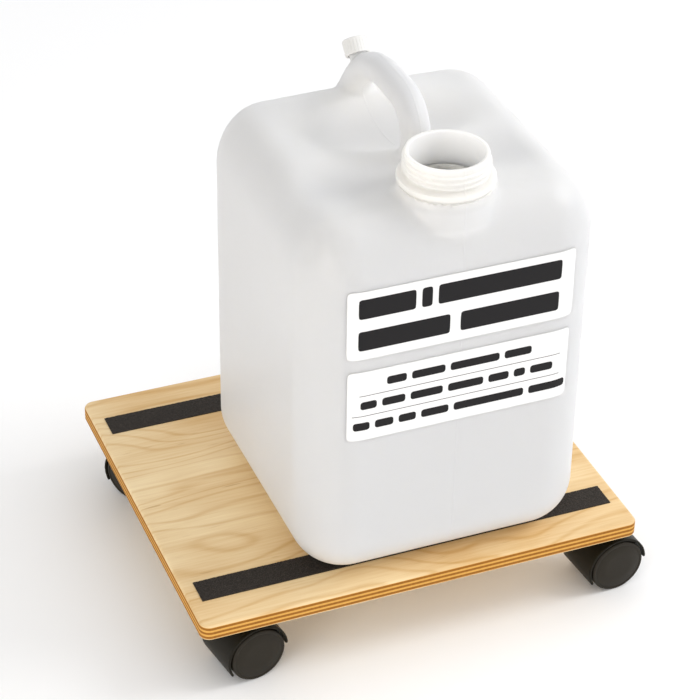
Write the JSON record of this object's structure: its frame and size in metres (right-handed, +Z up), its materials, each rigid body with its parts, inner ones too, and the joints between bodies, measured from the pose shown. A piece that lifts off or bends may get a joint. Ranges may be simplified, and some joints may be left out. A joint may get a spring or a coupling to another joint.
{
  "type": "portable handwash sink water tank on a rolling base",
  "caption": "Translucent plastic water tank with a threaded open neck, tube handle and vent cap, standing on a plywood dolly with grip strips and swivel twin-wheel casters.",
  "frame": {"origin": "on the floor under the centre of the footprint, 7.4 mm to the right of the board's own centre, because the front right caster sticks out past the board", "axes": "+Z up; +X to the right along the board's long side; -Y is the front, where the tank's neck and labels are"},
  "size_m": [0.4148, 0.3416, 0.4706],
  "materials": {
    "birch_plywood": "clear lacquer",
    "grip_tape": "fine grit",
    "tank_polyethylene": "milky translucent",
    "label_film": "satin film",
    "cap_polypropylene": "satin",
    "liner_foam": "matt",
    "caster_nylon": "satin",
    "wheel_nylon": "satin",
    "zinc_steel": "bright zinc plate",
    "spring_steel": "oiled",
    "washer_acetal": "satin"
  },
  "bodies": {
    "dolly": {"board": "birch_plywood", "grip_strip_front": "grip_tape", "grip_strip_rear": "grip_tape", "mounting_plate_front_left": "zinc_steel", "plate_screws_front_left": "zinc_steel", "kingpin_front_left": "zinc_steel", "retaining_ring_front_left": "spring_steel", "swivel_washer_front_left": "washer_acetal", "mounting_plate_front_right": "zinc_steel", "plate_screws_front_right": "zinc_steel", "kingpin_front_right": "zinc_steel", "retaining_ring_front_right": "spring_steel", "swivel_washer_front_right": "washer_acetal", "mounting_plate_rear_left": "zinc_steel", "plate_screws_rear_left": "zinc_steel", "kingpin_rear_left": "zinc_steel", "retaining_ring_rear_left": "spring_steel", "swivel_washer_rear_left": "washer_acetal", "mounting_plate_rear_right": "zinc_steel", "plate_screws_rear_right": "zinc_steel", "kingpin_rear_right": "zinc_steel", "retaining_ring_rear_right": "spring_steel", "swivel_washer_rear_right": "washer_acetal"},
    "tank": {"tank": "tank_polyethylene", "label_upper": "label_film", "label_lower": "label_film"},
    "vent_liner": {"vent_cap_liner": "liner_foam"},
    "vent_cap": {"vent_cap": "cap_polypropylene"},
    "caster_front_left": {"housing_front_left": "caster_nylon", "axle_front_left": "zinc_steel"},
    "wheel_a_front_left": {"wheel_a_front_left": "wheel_nylon"},
    "wheel_b_front_left": {"wheel_b_front_left": "wheel_nylon"},
    "caster_front_right": {"housing_front_right": "caster_nylon", "axle_front_right": "zinc_steel"},
    "wheel_a_front_right": {"wheel_a_front_right": "wheel_nylon"},
    "wheel_b_front_right": {"wheel_b_front_right": "wheel_nylon"},
    "caster_rear_left": {"housing_rear_left": "caster_nylon", "axle_rear_left": "zinc_steel"},
    "wheel_a_rear_left": {"wheel_a_rear_left": "wheel_nylon"},
    "wheel_b_rear_left": {"wheel_b_rear_left": "wheel_nylon"},
    "caster_rear_right": {"housing_rear_right": "caster_nylon", "axle_rear_right": "zinc_steel"},
    "wheel_a_rear_right": {"wheel_a_rear_right": "wheel_nylon"},
    "wheel_b_rear_right": {"wheel_b_rear_right": "wheel_nylon"}
  },
  "joints": [
    {"name": "tank_lift", "type": "slide", "parent": "dolly", "child": "tank", "axis": [0, 0, 1], "range_m": [0, 0.12]},
    {"name": "vent_cap_lift", "type": "slide", "parent": "tank", "child": "vent_liner", "axis": [0, 0.682, 0.7314], "range_m": [0, 0.0091]},
    {"name": "vent_cap_turn", "type": "hinge", "parent": "vent_liner", "child": "vent_cap", "pos_m": [0.01633, 0.05126, 0.43622], "axis": [0, 0.682, 0.7314], "range_deg": [0, 1080]},
    {"name": "swivel_front_left", "type": "hinge", "parent": "dolly", "child": "caster_front_left", "pos_m": [-0.17587, -0.1428, 0.05], "axis": [0, 0, 1], "continuous": true},
    {"name": "spin_a_front_left", "type": "hinge", "parent": "caster_front_left", "child": "wheel_a_front_left", "pos_m": [-0.1601, -0.14013, 0.025], "axis": [0.1668, -0.986, 0], "continuous": true},
    {"name": "spin_b_front_left", "type": "hinge", "parent": "caster_front_left", "child": "wheel_b_front_left", "pos_m": [-0.1601, -0.14013, 0.025], "axis": [0.1668, -0.986, 0], "continuous": true},
    {"name": "swivel_front_right", "type": "hinge", "parent": "dolly", "child": "caster_front_right", "pos_m": [0.16113, -0.1428, 0.05], "axis": [0, 0, 1], "continuous": true},
    {"name": "spin_a_front_right", "type": "hinge", "parent": "caster_front_right", "child": "wheel_a_front_right", "pos_m": [0.17708, -0.14152, 0.025], "axis": [0.0802, -0.9968, 0], "continuous": true},
    {"name": "spin_b_front_right", "type": "hinge", "parent": "caster_front_right", "child": "wheel_b_front_right", "pos_m": [0.17708, -0.14152, 0.025], "axis": [0.0802, -0.9968, 0], "continuous": true},
    {"name": "swivel_rear_left", "type": "hinge", "parent": "dolly", "child": "caster_rear_left", "pos_m": [-0.17337, 0.1368, 0.05], "axis": [0, 0, 1], "continuous": true},
    {"name": "spin_a_rear_left", "type": "hinge", "parent": "caster_rear_left", "child": "wheel_a_rear_left", "pos_m": [-0.16374, 0.12402, 0.025], "axis": [-0.7986, -0.6018, 0], "continuous": true},
    {"name": "spin_b_rear_left", "type": "hinge", "parent": "caster_rear_left", "child": "wheel_b_rear_left", "pos_m": [-0.16374, 0.12402, 0.025], "axis": [-0.7986, -0.6018, 0], "continuous": true},
    {"name": "swivel_rear_right", "type": "hinge", "parent": "dolly", "child": "caster_rear_right", "pos_m": [0.15863, 0.1368, 0.05], "axis": [0, 0, 1], "continuous": true},
    {"name": "spin_a_rear_right", "type": "hinge", "parent": "caster_rear_right", "child": "wheel_a_rear_right", "pos_m": [0.14278, 0.13457, 0.025], "axis": [-0.1392, 0.9903, 0], "continuous": true},
    {"name": "spin_b_rear_right", "type": "hinge", "parent": "caster_rear_right", "child": "wheel_b_rear_right", "pos_m": [0.14278, 0.13457, 0.025], "axis": [-0.1392, 0.9903, 0], "continuous": true}
  ],
  "couplings": [
    {"joint": "vent_cap_lift", "follows": "vent_cap_turn", "m_per_rad": 0.00047746}
  ]
}
